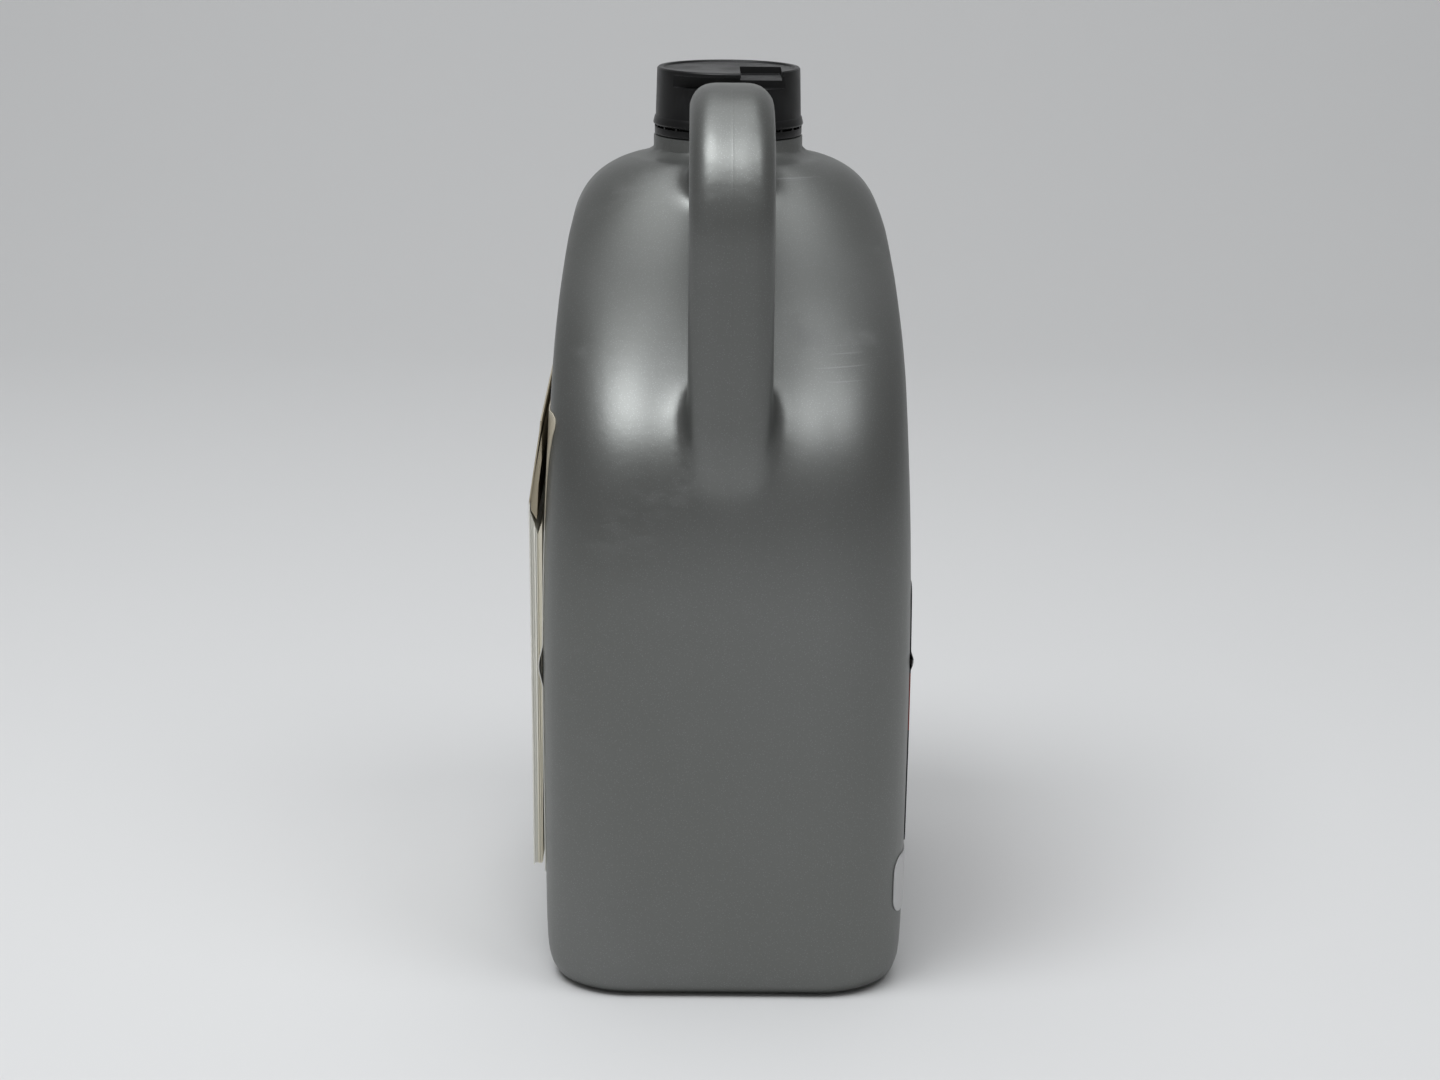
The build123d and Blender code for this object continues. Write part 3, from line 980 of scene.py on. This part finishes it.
class OILBOTTLE_OT_booklet(bpy.types.Operator):
    """Make the booklet: its cover with the slanted glued flap, its leaves and what backs them"""

    bl_idname = "oil_bottle.booklet"
    bl_label = "Booklet"

    def execute(self, context):
        own = context.scene.labels
        low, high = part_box("booklet")
        face = high.y - own.stand               # base label's outer face
        fold = high.z - own.slant
        cover_paper = paper_finish(
            "booklet_paper", own.paper_colour[:], lambda f: cover_fields(own, f))
        leaf_paper = paper_finish(
            "booklet_leaf", own.page_colour[:],
            lambda f: [(f.y.rise(face + 1.35 * MM, face + 1.75 * MM), (*own.paper_colour, 1.0))])
        # brown-grey painted shade for the gusset behind the slanted flap
        flap_shade_paper = paper_finish("booklet_back", own.flap_shade_colour[:], lambda f: [])
        thick = 0.42 * MM
        front = [
            (face + own.foot, low.z), (face + own.foot + 0.25 * MM, low.z + 0.3 * (fold - low.z)),
            (face + own.stand - 0.35 * MM, fold - 30 * MM), (face + own.stand, fold - 4 * MM)]
        turn = [
            (face + own.stand - 0.05 * MM, fold - 1.5 * MM),
            (face + own.stand - 0.3 * MM, fold + 0.3 * MM)]
        flap = [(face + 0.55 * own.stand, fold + 0.45 * own.slant),
                (face + 0.75 * MM, high.z - 3 * MM), (face + 0.52 * MM, high.z)]
        line = [(y - thick, z) for y, z in front + turn + flap]
        cover = folded_sheet("booklet_cover", line, thick, low.x, high.x, 3)
        completed(cover, cover_paper, "booklet_paper", "bottle", "booklet")
        self.make_leaves(own, leaf_paper, low, high, face, fold, thick)
        self.make_back(leaf_paper, low, high, face, fold)
        self.make_gusset(own, flap_shade_paper, low, high, face, fold, thick)
        return {"FINISHED"}

    def make_back(self, paper, low, high, face, fold):
        """The last leaves, pressed together, which taper from the stack down to the base label."""
        inner = face + 0.06 * MM
        back = closed_bar("booklet_back", [
            (inner, low.z + 0.6 * MM), (face + 0.27 * MM, low.z + 0.6 * MM),
            (face + 0.5 * MM, low.z + 0.3 * (fold - low.z)), (face + 1.1 * MM, fold - 37 * MM),
            (face + 1.42 * MM, fold - 12 * MM), (inner, fold - 8 * MM)],
            low.x + 0.9 * MM, high.x - 0.9 * MM)
        completed(back, paper, "booklet_paper", "bottle", sharp=20.0)

    def make_gusset(self, own, paper, low, high, face, fold, thick):
        """The folded sheets that fill the space behind the slanted flap, coloured in the flap's
        brown-grey painted shade.
        """
        inner = face + 0.12 * MM
        section = [
            (inner, high.z - 5 * MM), (face + 0.45 * own.stand - thick, fold + 0.5 * own.slant),
            (face + own.stand - thick - 0.15 * MM, fold),
            (face + own.stand - thick - 0.3 * MM, fold - 4 * MM),
            (face + 1.7 * MM, fold - 7 * MM), (face + 1.15 * MM, fold + 4 * MM),
            (inner, fold + 12 * MM)]
        gusset = closed_bar(
            "booklet_gusset", section, low.x + 0.5 * MM, high.x - 0.5 * MM)
        completed(gusset, paper, "booklet_paper", "bottle", sharp=20.0)

    def make_leaves(self, own, paper, low, high, face, fold, thick):
        """Inner leaves, one behind the other, each a little out of line with the rest."""
        depth = own.foot - thick - 0.3 * MM
        pitch = depth / own.leaf_count
        line = [
            (face + own.foot - thick - pitch, low.z + 0.5 * MM),
            (face + own.foot + 0.25 * MM - thick - pitch, low.z + 0.3 * (fold - low.z)),
            (face + own.stand - 0.35 * MM - thick - pitch, fold - 30 * MM),
            (face + own.stand - thick - pitch, fold - 4.5 * MM)]
        leaf = folded_sheet("leaf", line, 0.88 * pitch, low.x + 0.7 * MM, high.x - 0.7 * MM)
        pattern = Pattern("booklet_leaves", {
            "Count": own.leaf_count, "Step": (0.0, -pitch, -8.0 * MM / own.leaf_count),
            "Stray": (0.5 * MM, 0.0, 0.0), "Seed": 11})
        entry = pattern.entry
        row = pattern.node("GeometryNodeMeshLine", None, {
            "Count": entry["Count"], "Offset": entry["Step"]})
        put = pattern.node("GeometryNodeInstanceOnPoints", None, {
            "Points": row.outputs[0], "Instance": entry["Geometry"]})
        less = pattern.node(
            "ShaderNodeVectorMath", {"operation": "MULTIPLY"}, {0: entry["Stray"], 1: (-1, -1, -1)})
        stray = pattern.node("FunctionNodeRandomValue", {"data_type": "FLOAT_VECTOR"}, {
            0: less.outputs[0], 1: entry["Stray"], "Seed": entry["Seed"]})
        moved = pattern.node("GeometryNodeTranslateInstances", None, {
            "Instances": put.outputs[0], "Translation": stray.outputs[0]})
        mesh = leaf.data
        bpy.data.objects.remove(leaf)
        leaves = pattern.run(moved.outputs[0], paper, mesh)
        for v in leaves.data.vertices:
            v.co.z = max(v.co.z, low.z + 0.4 * MM)
        completed(leaves, paper, "booklet_paper", "bottle")


# ---- stage -----------------------------------------------------------------------------------
class OILBOTTLE_OT_stage(bpy.types.Operator):
    """Make the pale floor and backdrop, the soft lights and the camera"""

    bl_idname = "oil_bottle.stage"
    bl_label = "Stage"

    def execute(self, context):
        own = context.scene.stage
        scene = context.scene
        scene.view_settings.view_transform = "Standard"
        self.make_sweep(own)
        self.make_lights(own)
        self.make_camera(own)
        return {"FINISHED"}

    def make_sweep(self, own):
        reach, width, height, bend = 1.9, 3.2, 2.8, 0.9
        line = [(-3.5, 0.0), (reach - bend, 0.0)]
        for k in range(1, 17):
            turn = math.pi / 2 * k / 16
            line.append((reach - bend + bend * math.sin(turn), bend - bend * math.cos(turn)))
        line.append((reach, height))
        points = [(x, side * width, z) for side in (-1, 1) for x, z in line]
        count = len(line)
        faces = [(i, i + 1, count + i + 1, count + i) for i in range(count - 1)]
        sweep = from_lists("sweep", points, faces)
        sweep.data.shade_smooth()
        finish = Finish("sweep_paper", roughness=0.85, specular_ior_level=0.1)
        mottle = finish.noise(3.0, 2.0)
        # painted light: the sweep is made paler as it rises, about halfway towards 0.92 at the top
        wall = finish.z.rise(0.1, 1.2)
        finish.feed(base_color=finish.mix(
            0.04 * mottle + 0.5 * wall, own.floor_colour[:], (0.92, 0.92, 0.92)))
        sweep.data.materials.append(finish.material)

    def make_lights(self, own):
        lamps = (
            ("key", (-0.58, 0.62, 1.75), 0.9, own.key_power),
            ("fill", (-0.58, -0.75, 1.75), 0.9, own.fill_power),
            ("front", (-0.80, 0.05, 1.60), 0.6, own.front_power),
            ("top", (0.35, 0.10, 1.95), 1.6, own.top_power))
        aim = Vector((0.0, 0.0, 0.14))
        for name, place, size, power in lamps:
            light = bpy.data.lights.new(name, "AREA")
            light.shape, light.size, light.energy = "DISK", size, power
            light.color = own.light_colour
            lamp = bpy.data.objects.new(name, light)
            bpy.context.scene.collection.objects.link(lamp)
            lamp.location = place
            lamp.rotation_euler = (aim - Vector(place)).to_track_quat("-Z", "Y").to_euler()
        world = bpy.data.worlds.new("studio")
        bpy.context.scene.world = world
        world.use_nodes = True
        sky = world.node_tree.nodes["Background"].inputs
        sky["Color"].default_value = (1.0, 1.0, 1.0, 1.0)
        sky["Strength"].default_value = own.ambient

    def make_camera(self, own):
        lens = bpy.data.cameras.new("camera")
        lens.lens, lens.sensor_width = own.lens, 36.0
        lens.clip_start, lens.clip_end = 0.05, 50.0
        camera = bpy.data.objects.new("camera", lens)
        bpy.context.scene.collection.objects.link(camera)
        pitch, turn, roll = own.camera_pitch, own.camera_turn, own.camera_roll
        ahead = Vector((
            math.cos(pitch) * math.cos(turn), -math.cos(pitch) * math.sin(turn),
            -math.sin(pitch)))
        right = ahead.cross(Vector((0, 0, 1))).normalized()
        up = right.cross(ahead)
        leaned = (
            right * math.cos(roll) + up * math.sin(roll),
            up * math.cos(roll) - right * math.sin(roll), -ahead)
        camera.matrix_world = Matrix.Translation(
            (-own.camera_distance, MIDDLE_Y + own.camera_side, own.camera_height)
        ) @ Matrix(leaned).transposed().to_4x4()
        bpy.context.scene.camera = camera


# ---- panel and registration ------------------------------------------------------------------
MAKERS = (
    OILBOTTLE_OT_stage, OILBOTTLE_OT_bottle, OILBOTTLE_OT_closure, OILBOTTLE_OT_labels,
    OILBOTTLE_OT_booklet)
SETTINGS = (
    ("stage", StageSettings), ("oil_bottle", BottleSettings), ("closure", ClosureSettings),
    ("labels", LabelSettings))


class OILBOTTLE_PT_panel(bpy.types.Panel):
    """Lists the makers and their settings"""

    bl_idname = "OILBOTTLE_PT_panel"
    bl_label = "Oil Bottle"
    bl_space_type = "VIEW_3D"
    bl_region_type = "UI"
    bl_category = "Oil Bottle"

    def draw(self, context):
        for maker in MAKERS:
            self.layout.operator(maker.bl_idname)
        for name, group in SETTINGS:
            box = self.layout.box()
            for key in group.__annotations__:
                box.prop(getattr(context.scene, name), key)


def register():
    for name, group in SETTINGS:
        bpy.utils.register_class(group)
        setattr(bpy.types.Scene, name, PointerProperty(type=group))
    for made in (*MAKERS, OILBOTTLE_PT_panel):
        bpy.utils.register_class(made)


def unregister():
    for made in (OILBOTTLE_PT_panel, *reversed(MAKERS)):
        bpy.utils.unregister_class(made)
    for name, group in reversed(SETTINGS):
        delattr(bpy.types.Scene, name)
        bpy.utils.unregister_class(group)


def main():
    register()
    for maker in MAKERS:
        group, name = maker.bl_idname.split(".")
        getattr(getattr(bpy.ops, group), name)()


if __name__ == "__main__":
    main()
